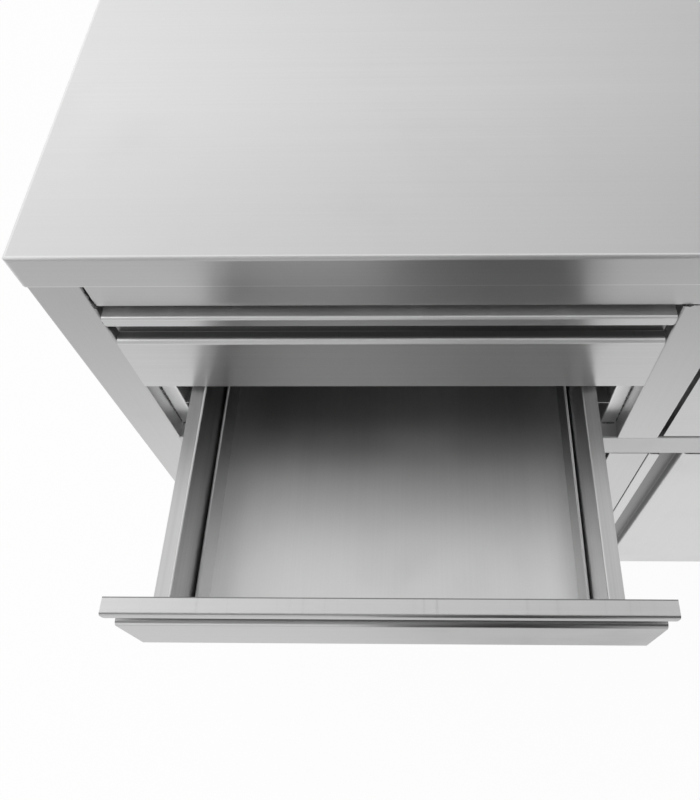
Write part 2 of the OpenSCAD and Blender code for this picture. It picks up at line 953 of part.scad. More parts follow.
module knock_drawer_side_left() {
    color(steel) in_knock_drawer() drawer_side(knock_box_h);
}

module knock_drawer_side_right() {
    color(steel) in_knock_drawer() mirror([1, 0, 0]) drawer_side(knock_box_h);
}

module knock_drawer_back() {
    color(steel) in_knock_drawer() drawer_back(knock_box_h);
}

module knock_drawer_tray() {
    color(steel) in_knock_drawer() drawer_tray(knock_box_h);
}

module knock_drawer_runner_inner() {
    color(zinc) runner_pair(bay_x, top_drawer_z - knock_runner_drop, 0) inner_section();
}

module knock_drawer_runner_middle() {
    color(zinc) runner_pair(bay_x, top_drawer_z - knock_runner_drop, 0) middle_section();
}

// Places a piece on the axis of the knock bar, which runs along X
module at_bar() {
    in_knock_drawer() translate([0, bar_y, -bar_drop]) rotate([0, 90, 0]) children();
}

module knock_bar() {
    half = wall_x - socket_plate_t;
    color(steel) at_bar() translate([0, 0, -half]) cylinder(r = bar_r, h = 2 * half);
}

module knock_bar_sleeve() {
    half = wall_x - socket_plate_t - socket_l;
    color(rubber) at_bar() translate([0, 0, -half]) linear_extrude(2 * half) difference() {
        circle(bar_r + sleeve_t);
        circle(bar_r + sleeve_play);
    }
}

// Plates on the drawer's sides with a socket for each end of the bar
module knock_bar_sockets() {
    p = socket_plate_w / 2;
    color(zinc) for (side = [0, 1])
        at_bar() mirror([0, 0, side]) translate([0, 0, -wall_x]) {
            block([-p / 2, p], [-p, p], [0, socket_plate_t]);
            translate([0, 0, socket_plate_t]) linear_extrude(socket_l) difference() {
                circle(bar_r + socket_wall);
                circle(bar_r + pivot_play);
            }
        }
}

// Lift-out bin for the coffee grounds, with a rim round its mouth
module grounds_bin() {
    z = -knock_box_h + 2 * sheet;
    low = [-bin_w / 2, bin_y];
    high = low + [bin_w, bin_l];
    rim = [bin_rim, bin_rim];
    wall = [bin_wall, bin_wall];
    color(plastic) in_knock_drawer() {
        tray_shape(low, high, z, bin_h, bin_r, bin_wall);
        along_z(z + bin_h - bin_wall, z + bin_h) difference() {
            rounded_plan(low - rim, high + rim, bin_r + bin_rim);
            rounded_plan(low + wall, high - wall, bin_r - bin_wall);
        }
    }
}

// Places a door's piece: it runs from the free edge to the hinges, mirrored on the left
module at_right_door() {
    translate([bay_in + right_door_gap, face_y, door_z]) rotate([0, -90, 0]) children();
}

module at_left_door() {
    mirror([1, 0, 0])
        translate([bay_in + left_door_gap, face_y, door_z]) rotate([0, -90, 0]) children();
}

// Pins at the top and the bottom of a door's hinge edge, each with a washer
module door_pivots() {
    high = door_z + door_h;
    translate([pivot_x, pivot_y, 0]) {
        translate([0, 0, high]) cylinder(r = washer_r, h = door_gap_top - washer_play);
        translate([0, 0, high])
            cylinder(r = pivot_r, h = door_gap_top + sheet + pivot_plate_t);
        translate([0, 0, foot_h + washer_play])
            cylinder(r = washer_r, h = door_gap_bottom - washer_play);
        translate([0, 0, foot_h - pivot_plate_t])
            cylinder(r = pivot_r, h = door_gap_bottom + pivot_plate_t);
    }
}

module left_door_skin() {
    color(steel) at_left_door() grip_front(door_h, left_door_w);
}

module left_door_liner() {
    color(dull_steel) at_left_door() grip_liner(door_h, left_door_w);
}

module left_door_pivots() {
    color(zinc) mirror([1, 0, 0]) door_pivots();
}

module right_door_skin() {
    color(steel) at_right_door() grip_front(door_h, right_door_w);
}

module right_door_liner() {
    color(dull_steel) at_right_door() grip_liner(door_h, right_door_w);
}

module right_door_pivots() {
    color(zinc) door_pivots();
}

worktop();
worktop_stiffeners();
side_panel_left();
side_panel_right();
back_panel();
bottom_panel();
top_rail();
middle_rail();
centre_stile_upper();
centre_stile_lower();
partition_upper();
partition_lower();
divider_shelf();
runner_posts();
runner_brackets();
runner_outer_members();
cupboard_shelves();
shelf_supports();
foot_plates();
foot_tubes();
foot_adjusters();
foot_screws();
door_pivot_plates();
magnet_catches();
top_drawer_front();
top_drawer_liner();
top_drawer_side_left();
top_drawer_side_right();
top_drawer_back();
top_drawer_tray();
top_drawer_runner_inner();
top_drawer_runner_middle();
bottom_drawer_front();
bottom_drawer_liner();
bottom_drawer_side_left();
bottom_drawer_side_right();
bottom_drawer_back();
bottom_drawer_tray();
bottom_drawer_runner_inner();
bottom_drawer_runner_middle();
knock_drawer_front();
knock_drawer_liner();
knock_drawer_side_left();
knock_drawer_side_right();
knock_drawer_back();
knock_drawer_tray();
knock_drawer_runner_inner();
knock_drawer_runner_middle();
knock_bar();
knock_bar_sleeve();
knock_bar_sockets();
grounds_bin();
left_door_skin();
left_door_liner();
left_door_pivots();
right_door_skin();
right_door_liner();
right_door_pivots();
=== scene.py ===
# %% [markdown]
# # Coffee station cabinet
# The real object is a steel base unit: folded sheets, two drawers, a knock-out drawer and
# two cupboards. Its sheets are already modelled at their real size, so this lesson loads
# them as a fixed frame and works on what the eye sees: the camera, the light, the brushed
# finish of each sheet and the small welds that hold the frame together.

# %% Load the cabinet
import json
import math

import bmesh
import bpy
from mathutils import Matrix, Vector


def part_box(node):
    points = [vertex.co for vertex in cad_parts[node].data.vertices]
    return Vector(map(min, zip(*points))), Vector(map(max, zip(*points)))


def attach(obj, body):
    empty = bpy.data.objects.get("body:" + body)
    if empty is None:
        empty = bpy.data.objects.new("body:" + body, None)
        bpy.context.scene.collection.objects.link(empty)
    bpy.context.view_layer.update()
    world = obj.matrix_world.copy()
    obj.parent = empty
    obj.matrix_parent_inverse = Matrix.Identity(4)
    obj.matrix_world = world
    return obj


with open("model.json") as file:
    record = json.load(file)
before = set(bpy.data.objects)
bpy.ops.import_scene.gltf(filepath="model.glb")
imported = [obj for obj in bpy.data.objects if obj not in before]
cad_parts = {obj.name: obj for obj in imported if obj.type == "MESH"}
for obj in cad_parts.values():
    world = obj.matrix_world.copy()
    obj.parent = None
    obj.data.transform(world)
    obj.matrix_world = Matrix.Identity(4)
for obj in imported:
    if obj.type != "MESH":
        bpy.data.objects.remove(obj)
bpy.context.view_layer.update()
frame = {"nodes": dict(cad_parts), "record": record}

nodes = frame["nodes"]

# %% [markdown]
# ## The camera
# The picture was taken from above and in front of the open drawer, and a crop moved the
# middle of the lens away from the middle of the picture. One could turn the camera until
# it looks right. Here its place, its three turns and its focal length are kept as
# measured values instead, and the lens is shifted by what the crop cut off.

# %% Camera
PHOTO_W, PHOTO_H = 700, 800
FOCAL_PX = 771.91
MIDDLE_PX = (409.51, 300.01)
SENSOR_MM = 36
EYE = Vector((-0.25247, -0.55869, 1.49749))
PITCH, YAW, ROLL = math.radians(56.32), math.radians(-2.275), math.radians(-2.07)

ahead = Vector((math.sin(YAW) * math.cos(PITCH), math.cos(YAW) * math.cos(PITCH), -math.sin(PITCH)))
sideways = Vector((math.cos(YAW), -math.sin(YAW), 0))
upright = sideways.cross(ahead)
right = math.cos(ROLL) * sideways + math.sin(ROLL) * upright
up = math.cos(ROLL) * upright - math.sin(ROLL) * sideways

lens = bpy.data.cameras.new("camera")
lens.sensor_fit = "AUTO"
lens.sensor_width = SENSOR_MM
lens.lens = FOCAL_PX * SENSOR_MM / PHOTO_H
lens.shift_x = (PHOTO_W / 2 - MIDDLE_PX[0]) / PHOTO_H
lens.shift_y = (MIDDLE_PX[1] - PHOTO_H / 2) / PHOTO_H
camera = bpy.data.objects.new("camera", lens)
camera.matrix_world = Matrix.Translation(EYE) @ Matrix((right, up, -ahead)).transposed().to_4x4()
bpy.context.scene.collection.objects.link(camera)
bpy.context.scene.camera = camera
bpy.context.scene.view_settings.view_transform = "Standard"
print(f"camera: {lens.lens:.2f} mm, shift {lens.shift_x:.4f}, {lens.shift_y:.4f}")

# %% [markdown]
# ## Sums on sockets
# A finish is a formula: a grey, plus a few per cent of streaks, times a smudge. Wiring
# each sum by hand hides that formula, so a small class wraps a socket and turns plus,
# minus and times into Math nodes.

# %% Shader formulas
class Signal:
    """A socket that can be added to, subtracted from and multiplied."""

    def __init__(self, finish, socket):
        self.finish, self.socket = finish, socket

    def combined(self, operation, first, second):
        return self.finish.node("ShaderNodeMath", {"operation": operation}, {0: first, 1: second})

    def __add__(self, other):
        return self.combined("ADD", self, other)

    def __radd__(self, other):
        return self.combined("ADD", other, self)

    def __sub__(self, other):
        return self.combined("SUBTRACT", self, other)

    def __rsub__(self, other):
        return self.combined("SUBTRACT", other, self)

    def __mul__(self, other):
        return self.combined("MULTIPLY", self, other)

    def __rmul__(self, other):
        return self.combined("MULTIPLY", other, self)


print("plus, minus and times ready")

# %% [markdown]
# ## Nodes in one line each
# Every node comes from one method, which sets what the node does, fills or links its
# sockets and gives back one output. The few nodes that nearly every finish here needs, a
# smooth step, a place and one axis of a vector, get a short name of their own.

# %% Finishes
class Finish:
    """One material or world, made of nodes."""

    def __init__(self, owner):
        owner.use_nodes = True
        self.owner, self.tree = owner, owner.node_tree
        self.tree.nodes.clear()

    def node(self, kind, settings=None, inputs=None, output=0):
        """A new node, by its settings and the values or links of its sockets. Gives one output back."""
        made = self.tree.nodes.new(kind)
        for name, value in (settings or {}).items():
            setattr(made, name, value)
        for name, value in (inputs or {}).items():
            if isinstance(value, Signal):
                self.tree.links.new(value.socket, made.inputs[name])
            else:
                made.inputs[name].default_value = value
        return Signal(self, made.outputs[output]) if made.outputs else None

    def between(self, value, low, high):
        """0 at low, 1 at high and a smooth rise between, also where low is the larger one."""
        return self.node(
            "ShaderNodeMapRange",
            {"interpolation_type": "SMOOTHSTEP"},
            {"Value": value, "From Min": low, "From Max": high},
        )

    def object_place(self):
        """Where a point is at rest, in metres."""
        return self.node("ShaderNodeTexCoord", output="Object")

    def axis(self, vector, letter):
        return self.node("ShaderNodeSeparateXYZ", None, {"Vector": vector}, letter)

    def surface(self, shader):
        """The shader goes to the output, and the material or world is done."""
        kind = "Material" if isinstance(self.owner, bpy.types.Material) else "World"
        self.node(f"ShaderNodeOutput{kind}", None, {"Surface": shader})
        return self.owner


print("short names for nodes ready")

# %% [markdown]
# ## The room
# Steel shows little of its own colour: it shows the room. Here the room is white and
# even, a little brighter on the left, as a large window would make it, though not
# straight overhead. A picture of a real room would bring its own colours and furniture,
# so a sum on the direction of the ray does it instead. What the camera sees of the room
# directly is plain white.

# %% Room
ROOM_LEVEL = 0.84
LEFT_LIFT = 0.55
ZENITH = 0.27


def ray(finish, kind):
    """1 for rays of that kind, otherwise 0."""
    return finish.node("ShaderNodeLightPath", output=f"Is {kind} Ray")


room = Finish(bpy.data.worlds.new("room"))
bpy.context.scene.world = room.owner
direction = room.node("ShaderNodeTexCoord", output="Generated")
aslant = room.node(
    "ShaderNodeMapRange",
    {"interpolation_type": "LINEAR"},
    {"Value": room.axis(direction, "Z"), "From Min": 1.0, "From Max": 1.0 - ZENITH},
)
seen_by_camera = ray(room, "Camera")
mirrored_room = ROOM_LEVEL - room.axis(direction, "X") * aslant * LEFT_LIFT
strength = seen_by_camera + (1 - seen_by_camera) * mirrored_room
room.surface(room.node("ShaderNodeBackground", None, {"Color": (1, 1, 1, 1), "Strength": strength}))
print(f"room: level {ROOM_LEVEL}, lifted by up to {LEFT_LIFT} on the left")

# %% [markdown]
# ## The floor
# The floor is plain and pale and keeps the cabinet's shadow. In reflections it is a
# little darker far in front of the cabinet, which gives upright steel its slow fall from
# light to grey. More light would whiten the floor too, but it would bleach the cabinet
# with it. So a matt shader holds the shadow and a glow holds the white, and the kind of
# ray chooses how much of each.

# %% Floor
FLOOR_SIDE = 12
PALE_GREY = (0.86, 0.86, 0.86, 1)
FLOOR_GLOW = 0.94
MIRRORED_GLOW = 0.85
FAR_FLOOR, NEAR_FLOOR = 0.56, 0.89
FAR_Y, NEAR_Y = -0.85, -0.35


def object_of(work, name, finish):
    """The finished bmesh as an object at the origin."""
    mesh = bpy.data.meshes.new(name)
    work.to_mesh(mesh)
    work.free()
    mesh.materials.append(finish)
    made = bpy.data.objects.new(name, mesh)
    bpy.context.scene.collection.objects.link(made)
    return made


def glow(finish, strength):
    return finish.node("ShaderNodeEmission", None, {"Color": (1, 1, 1, 1), "Strength": strength})


def blended(finish, share, first, second):
    """The first shader where share is 0, and the second where it is 1."""
    return finish.node("ShaderNodeMixShader", None, {0: share, 1: first, 2: second})


def pale_floor():
    finish = Finish(bpy.data.materials.new("pale_floor"))
    matt = finish.node("ShaderNodeBsdfDiffuse", None, {"Color": PALE_GREY})
    looked_at = ray(finish, "Camera")
    nearer = finish.between(finish.axis(finish.object_place(), "Y"), FAR_Y, NEAR_Y)
    mirrored_floor = FAR_FLOOR + nearer * (NEAR_FLOOR - FAR_FLOOR)
    shining = glow(finish, looked_at + (1 - looked_at) * mirrored_floor)
    mirrored = ray(finish, "Glossy") + ray(finish, "Transmission")
    share = looked_at * FLOOR_GLOW + mirrored * MIRRORED_GLOW
    return finish.surface(blended(finish, share, matt, shining))


ground = bmesh.new()
bmesh.ops.create_grid(ground, x_segments=1, y_segments=1, size=FLOOR_SIDE / 2)
object_of(ground, "floor", pale_floor())
print(f"floor: {FLOOR_SIDE} m square")

# %% [markdown]
# ## Cards to mirror
# Steel without a dark edge to mirror looks like paint. Dark streaks in its colour would
# stand still when the view turns, so three cards stand before the cabinet, as a
# photographer would set up black paper, and only reflections can see them. Two go dark
# towards the right. The third, nearer one is a dark stripe with light beside it, and it
# shows in the narrow folds of the drawer fronts.

# %% Cards
DARKEST = 0.01
CARD_LEAN = 9


def card_finish(name, brightest, dark_from, dark_to, light_from=None, light_to=None):
    """A glow that goes dark towards the right, and may grow light again after that."""
    finish = Finish(bpy.data.materials.new(name))
    across = finish.axis(finish.object_place(), "X")
    darkness = finish.between(across, dark_from, dark_to)
    if light_to:
        darkness = darkness * finish.between(across, light_to, light_from)
    return finish.surface(glow(finish, brightest - darkness * (brightest - DARKEST)))


def card(name, finish, left, right_end, foot, height, lean=0):
    """A sheet on its lower edge, at y and z of foot, seen only in reflections."""
    sheet = bmesh.new()
    bmesh.ops.create_grid(sheet, x_segments=1, y_segments=1, size=0.5)
    bmesh.ops.scale(sheet, vec=(right_end - left, height, 1), verts=sheet.verts)
    bmesh.ops.translate(sheet, vec=((left + right_end) / 2, height / 2, 0), verts=sheet.verts)
    bmesh.ops.rotate(sheet, matrix=Matrix.Rotation(math.radians(90 - lean), 3, "X"), verts=sheet.verts)
    bmesh.ops.translate(sheet, vec=(0, *foot), verts=sheet.verts)
    made = object_of(sheet, name, finish)
    made.visible_camera = False
    made.visible_diffuse = False
    made.visible_shadow = False
    made.visible_transmission = False
    print(f"{name}: {right_end - left:.2f} by {height:.2f} m")


dark = card_finish("dark_card", 0.10, dark_from=-0.42, dark_to=-0.20)
striped = card_finish("striped_card", 0.24, dark_from=-0.30, dark_to=-0.15, light_from=0.06, light_to=0.18)
card("high_card", dark, left=-1.25, right_end=0.45, foot=(-1.10, 0.95), height=2.1, lean=CARD_LEAN)
card("low_card", dark, left=-0.34, right_end=0.10, foot=(-1.08, 0.002), height=0.96)
card("near_card", striped, left=-0.95, right_end=0.80, foot=(-0.62, 0.80), height=1.2)

# %% [markdown]
# ## The lamp
# One large soft box stands to the left, in front and above. It gives the floor its soft
# shadow and the matt pieces their shape, where a small lamp would draw hard edges.
# Reflections don't see it, because the room already gives the steel its light side.

# %% Soft box
LAMP_SIDE = 2.2
LAMP_POWER = 14
LAMP_AT = Vector((-1.7, -1.4, 3.0))
LAMP_AIM = Vector((0, 0, 0.6))

panel = bpy.data.lights.new("soft_box", "AREA")
panel.shape = "SQUARE"
panel.size = LAMP_SIDE
panel.energy = LAMP_POWER
lamp = bpy.data.objects.new("soft_box", panel)
lamp.location = LAMP_AT
lamp.rotation_euler = (LAMP_AIM - LAMP_AT).to_track_quat("-Z", "Y").to_euler()
lamp.visible_glossy = False
bpy.context.scene.collection.objects.link(lamp)
print(f"soft box: {LAMP_SIDE} m square, {LAMP_POWER} W")

# %% [markdown]
# ## Grain and smudges
# The sheets are ground with a belt, so fine scratches run one way along each of them.
# A picture of scratches would need to be laid out on every sheet. A noise that is
# stretched along one axis of the cabinet gives the same look at the real scale, and it
# stays with the sheet when a drawer moves. A wipe or a hand leaves soft patches over it.

# %% Grain and smudges
ACROSS_GRAIN = {"x": (0, 1, 1), "y": (1, 0, 1), "z": (1, 1, 0)}
LONG_PER_M = 2.2
PATCH_DETAIL, PATCH_ROUGHNESS = 4.0, 0.6


def noise(finish, place, per_m, detail, roughness=0.5):
    return finish.node(
        "ShaderNodeTexNoise",
        {"noise_dimensions": "3D"},
        {"Vector": place, "Scale": per_m, "Detail": detail, "Roughness": roughness},
    )


def streaks(finish, place, grain, per_m, detail=2.0):
    """Noise drawn out along the grain, with so many streaks to the metre across it."""
    stretched = [per_m if across else LONG_PER_M for across in ACROSS_GRAIN[grain]]
    mapped = finish.node("ShaderNodeMapping", {"vector_type": "POINT"}, {"Vector": place, "Scale": stretched})
    return noise(finish, mapped, per_m=1.0, detail=detail)


def blotches(finish, place, per_m, low, high):
    """Soft patches that start where the noise passes low and are full at high."""
    return finish.between(noise(finish, place, per_m, PATCH_DETAIL, PATCH_ROUGHNESS), low, high)


print("streaks and blotches ready")

# %% [markdown]
# ## Grey, gloss and bumps
# Blender has a shader for each kind of gloss, and they could be mixed. The Principled
# shader holds them all, from rubber to steel, and other programs understand it, so every
# finish ends in it. The cabinet has hardly any colour, so a level of grey is enough.

# %% Grey, gloss and bumps
def grey_colour(finish, level):
    return finish.node("ShaderNodeCombineColor", None, {"Red": level, "Green": level, "Blue": level})


def bump(finish, height):
    """Raises or sinks the surface by a height in metres, in its shading only."""
    return finish.node("ShaderNodeBump", None, {"Strength": 1.0, "Distance": 1.0, "Height": height})


def principled(finish, tone, rough, metal=0.0, **more):
    sockets = {"Base Color": tone, "Roughness": rough, "Metallic": metal, **more}
    return finish.node("ShaderNodeBsdfPrincipled", None, sockets)


print("grey, gloss and bumps ready")

# %% [markdown]
# ## Brushed stainless steel
# Reflections stay sharp along the scratches and smear across them. On an upright face
# the shader's own level tangent gives that smear. A level face would get rings from it,
# so there a plain gloss with fine streaks does the work, and the face's normal chooses
# between the two. A sheet is first ground, then gets its traces, and then is finished.

# %% Brushed steel
MEAN = 0.5
FINE_PER_M, FINE_TONE, FINE_GLOSS = 420.0, 0.06, 0.05
BROAD_PER_M, BROAD_TONE, BROAD_GLOSS = 55.0, 0.03, 0.03
SMUDGE_PER_M, SMUDGE_TONE, SMUDGE_GLOSS = 6.0, 0.015, 0.06
SMUDGE_RANGE = (0.5, 0.78)
SHEET_TURN = (0.35, 0.75)
WAVE_PER_M, WAVE_DETAIL, WAVE_DEPTH = 3.4, 1.0, 0.0006
LYING_BLUR, SCRATCHED_BLUR = 0.04, 0.14
SCRATCHES_PER_M, SCRATCH_DETAIL = 260.0, 4.0
SCRATCH_RANGE = (0.55, 0.75)
QUARTER_TURN = 0.25


class Sheet(Finish):
    """A brushed sheet: its grey level, gloss and metal, and what its traces are placed by."""

    def __init__(self, name, grain, grey, roughness, contrast=1.0, turn=SHEET_TURN):
        super().__init__(bpy.data.materials.new(name))
        self.grain, self.metal, self.soot = grain, 1.0, 0.0
        self.facing = self.node("ShaderNodeNewGeometry", output="Normal")
        self.rise = self.axis(self.facing, "Z")
        steepness = self.node("ShaderNodeMath", {"operation": "ABSOLUTE"}, {0: self.rise})
        self.lying = self.between(steepness, *turn)
        self.place = self.object_place()
        fine = streaks(self, self.place, grain, FINE_PER_M) - MEAN
        broad = streaks(self, self.place, grain, BROAD_PER_M) - MEAN
        smudge = blotches(self, self.place, SMUDGE_PER_M, *SMUDGE_RANGE)
        ground_tone = 1.0 + (fine * FINE_TONE + broad * BROAD_TONE) * contrast
        self.level = grey * ground_tone - smudge * SMUDGE_TONE
        self.rough = roughness + fine * FINE_GLOSS + broad * BROAD_GLOSS + smudge * SMUDGE_GLOSS

    def finished(self, anisotropy=0.85, scratches=0.0):
        """The material. Scratches say how much the marks of use blur a level face."""
        tone = grey_colour(self, self.level)
        wavy = bump(self, noise(self, self.place, WAVE_PER_M, WAVE_DETAIL) * WAVE_DEPTH)
        lying_rough = self.rough + LYING_BLUR
        if scratches:
            marks = streaks(self, self.place, "y", SCRATCHES_PER_M, SCRATCH_DETAIL)
            lying_rough = lying_rough + SCRATCHED_BLUR + self.between(marks, *SCRATCH_RANGE) * scratches
        lying_face = principled(self, tone, lying_rough, self.metal, Normal=wavy)
        smear = {
            "Anisotropic": anisotropy,
            "Anisotropic Rotation": 0.0 if self.grain == "z" else QUARTER_TURN,
        }
        upright_face = principled(self, tone, self.rough, self.metal, Normal=wavy, **smear)
        return self.surface(blended(self, self.lying, upright_face, lying_face))


print("a sheet can be ground and finished")

# %% [markdown]
# ## Painted shade on the fronts
# The finger grooves are painted darker deep inside, as shade where little light gets in.
# One could draw it on each front. The record already says where each groove is, because
# it is stated there as an opening, so the painted shade follows the groove of every front
# by itself. The rear edge of each front gets a thin line of painted shade.

# %% Painted shade on the fronts
# How much painted shade darkens the finger grooves, and where it starts and ends.
GROOVE_SHADE = 0.68
SHADE_DEPTH = (0.0025, 0.0075)
SHADE_BELOW = (0.0016, 0.0004)
SHADE_ABOVE = (0.0012, 0.0002)
REAR_EDGE_SHADE = 0.65
SHADE_LINE_WIDTH = 0.0013
GRIPS = {
    row["name"].replace("_grip", ""): row["box_m"]
    for row in frame["record"]["physics"]["openings"]
    if row["name"].endswith("_grip")
}


def shade_groove(sheet, grip):
    """Painted shade inside the finger groove, whether it lies across or stands upright."""
    (low_x, face_y, low_z), (high_x, _, high_z) = GRIPS[grip]
    lies = high_x - low_x > high_z - low_z
    letter, low, high = ("Z", low_z, high_z) if lies else ("X", low_x, high_x)
    behind = sheet.axis(sheet.place, "Y")
    across = sheet.axis(sheet.place, letter)
    sheet.soot = (
        sheet.between(behind, face_y + SHADE_DEPTH[0], face_y + SHADE_DEPTH[1])
        * sheet.between(across, low - SHADE_BELOW[0], low - SHADE_BELOW[1])
        * sheet.between(across, high + SHADE_ABOVE[0], high + SHADE_ABOVE[1])
    )
    sheet.level = sheet.level * (1.0 - sheet.soot * GROOVE_SHADE)


def darken_rear_edge(sheet, grip):
    # A thin line of painted shade along the rear edge of the front, where it meets the sheet behind.
    rear_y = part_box(grip + ("_front" if "drawer" in grip else "_skin"))[1].y
    behind = sheet.axis(sheet.place, "Y")
    rear_shade = sheet.between(behind, rear_y - SHADE_LINE_WIDTH, rear_y - SHADE_LINE_WIDTH / 2)
    sheet.level = sheet.level * (1.0 - rear_shade * REAR_EDGE_SHADE)


print("grooves:", ", ".join(GRIPS))

# %% [markdown]
# ## Bands on the worktop
# The worktop's level face is darker towards its front edge than at the wall. Under the
# apron the sheet is hemmed, and the turned edge gets a thin painted highlight. Both are
# bands that run from one side of the cabinet to the other, so a smooth step along one
# axis is all that they need.

# %% Bands on the worktop
HEM_HIGHLIGHT = 0.25
HEM_WIDTH = 0.0014
FRONT_DARKENING = 0.105
DARKENING_REACH = 0.22
worktop_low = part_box("worktop")[0]


def paint_hem_highlight(sheet):
    # A thin painted highlight along the turned edge under the apron.
    height = sheet.axis(sheet.place, "Z")
    hem = sheet.between(height, worktop_low.z + HEM_WIDTH, worktop_low.z + HEM_WIDTH / 2)
    sheet.level = sheet.level * (1.0 + hem * HEM_HIGHLIGHT)


def darken_towards_front(sheet):
    # The level face is made darker towards the front edge of the worktop.
    behind = sheet.axis(sheet.place, "Y")
    darkened = sheet.between(behind, worktop_low.y + DARKENING_REACH, worktop_low.y) * sheet.lying
    sheet.level = sheet.level * (1.0 - darkened * FRONT_DARKENING)


print(f"worktop: wiped over {DARKENING_REACH} m, hem of {HEM_WIDTH * 1000} mm")

# %% [markdown]
# ## Painted highlights on folds
# A fold that looks upwards and to one side gets a painted highlight: a paler colour and
# less of a mirror, so it looks lit from every view. Paint would have to follow every
# fold by hand, but the normal finds them all: where a face looks both upwards and to one
# side, the product of the two is large, and on level and upright faces it is nothing.

# %% Painted highlights on folds
FOLD_FACING = (0.08, 0.25)
HIGHLIGHT_GREY = 0.95
PALE_PER_HIGHLIGHT = 3
RIGHTWARDS = (1, 0, 0)
FORWARDS = (0, -1, 0)


def highlight_folds(sheet, wear, side):
    """The highlight goes from 0, none, to 1, with no mirror left. It spares the groove's painted shade."""
    settings = {"operation": "DOT_PRODUCT"}
    turned = sheet.node("ShaderNodeVectorMath", settings, {0: sheet.facing, 1: side}, "Value")
    highlighted = sheet.between(turned * sheet.rise, *FOLD_FACING) * (1.0 - sheet.soot)
    paleness = min(1.0, wear * PALE_PER_HIGHLIGHT)
    sheet.metal = 1.0 - highlighted * wear
    sheet.level = sheet.level + highlighted * paleness * (HIGHLIGHT_GREY - sheet.level)


print("folds can be rubbed")

# %% [markdown]
# ## The trays
# A loose tray lies in each drawer. Its floor is made lighter near the side walls, and
# the walls that face left are painted in shade. Both follow from the tray's own box and
# from where a face looks, so one function does for all three trays, whatever their
# size.

# %% Trays
TRAYS = ("top_drawer_tray", "bottom_drawer_tray", "knock_drawer_tray")
WALL_SHADE = 0.45
LEFTWARDS = (-0.5, -0.9)
FLOOR_LIFT = 0.20
FLOOR_REACH = 0.06


def light_tray(sheet, tray):
    # A lighter floor near the side walls, and painted shade on the walls that face left.
    low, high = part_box(tray)
    across = sheet.axis(sheet.place, "X")
    near_left = sheet.between(across, low.x + FLOOR_REACH, low.x)
    near_right = sheet.between(across, high.x - FLOOR_REACH, high.x)
    lift = (near_left + near_right) * sheet.lying * FLOOR_LIFT
    shade = sheet.between(sheet.axis(sheet.facing, "X"), *LEFTWARDS) * WALL_SHADE
    sheet.level = sheet.level * (1.0 + lift) * (1.0 - shade)


print(f"{len(TRAYS)} trays")

# %% [markdown]
# ## Recipes for the sheets
# One steel for the whole cabinet would look new and dull. The worktop, the drawer sides,
# the trays and the fronts each get a recipe: the grain and grey of its sheet, and then its
# own marks, mostly painted highlights and painted shade, in the order they came.

# %% Recipes for the sheets
BELT = 0.32
OUTER_GREY = {"x": 0.74, "y": 0.80, "z": 0.67}
SOFT_SMEAR = 0.6
WORKTOP_FOLD_HIGHLIGHT = 0.2
GRIP_TURN = (0.94, 0.99)
FRONT_SCRATCHES = 0.14
DRAWER_FRONT = {"grain": "x", "grey": 0.80, "contrast": 1.6}
DOOR_SKIN = {"grain": "z", "grey": 0.75, "contrast": 1.0}
FRONT_FOLD_HIGHLIGHT = {"top_drawer": 0.30}


def worktop_steel():
    sheet = Sheet("brushed_steel_worktop", "x", OUTER_GREY["x"], BELT)
    # A painted highlight on the hem, and the level face darker towards the front.
    paint_hem_highlight(sheet)
    darken_towards_front(sheet)
    # A faint painted highlight on the worktop's forward folds.
    highlight_folds(sheet, WORKTOP_FOLD_HIGHLIGHT, FORWARDS)
    return sheet.finished()


def fold_lit_steel(name, grey, roughness, contrast, anisotropy):
    """The steel of sheets that hands and trays slide along, with a painted highlight on their folds."""
    sheet = Sheet(name, "y", grey, roughness, contrast)
    highlight_folds(sheet, 1.0, RIGHTWARDS)
    return sheet.finished(anisotropy)


def tray_steel(tray):
    sheet = Sheet(f"brushed_{tray}", "y", OUTER_GREY["y"], BELT)
    # Painted shade on the left-facing walls, and a lighter floor near the walls.
    light_tray(sheet, tray)
    return sheet.finished()


def grip_steel(grip):
    kind = DRAWER_FRONT if "drawer" in grip else DOOR_SKIN
    sheet = Sheet(f"brushed_{grip}", roughness=BELT, turn=GRIP_TURN, **kind)
    # Painted shade in the finger groove and along the rear edge.
    shade_groove(sheet, grip)
    darken_rear_edge(sheet, grip)
    # The top drawer's front gets a painted highlight on its folds.
    if grip in FRONT_FOLD_HIGHLIGHT:
        highlight_folds(sheet, FRONT_FOLD_HIGHLIGHT[grip], FORWARDS)
    return sheet.finished(SOFT_SMEAR, FRONT_SCRATCHES)


print("recipes ready")

# %% [markdown]
# ## A steel for each kind of sheet
# Each steel is made once, and all sheets of its kind share it, so a change to it reaches
# them all. Most sheets need nothing but their grain and their grey. Inner sheets are
# ground less finely, so they are duller.

# %% Steels
SIDE_BELT, COARSE_BELT, ROLLED = 0.31, 0.38, 0.55
WAYS = {"x": "across", "y": "lengthwise", "z": "upright"}
INNER_GREY = 0.62
SIDE_GREY, RIM_GREY, POST_GREY = 0.62, 0.86, 0.90

steels = {
    "stainless_steel": {
        grain: Sheet(f"brushed_steel_{way}", grain, OUTER_GREY[grain], BELT).finished()
        for grain, way in WAYS.items()
    },
    "inner_steel": {
        grain: Sheet(f"inner_steel_{way}", grain, INNER_GREY, COARSE_BELT).finished(SOFT_SMEAR)
        for grain, way in WAYS.items()
    },
}
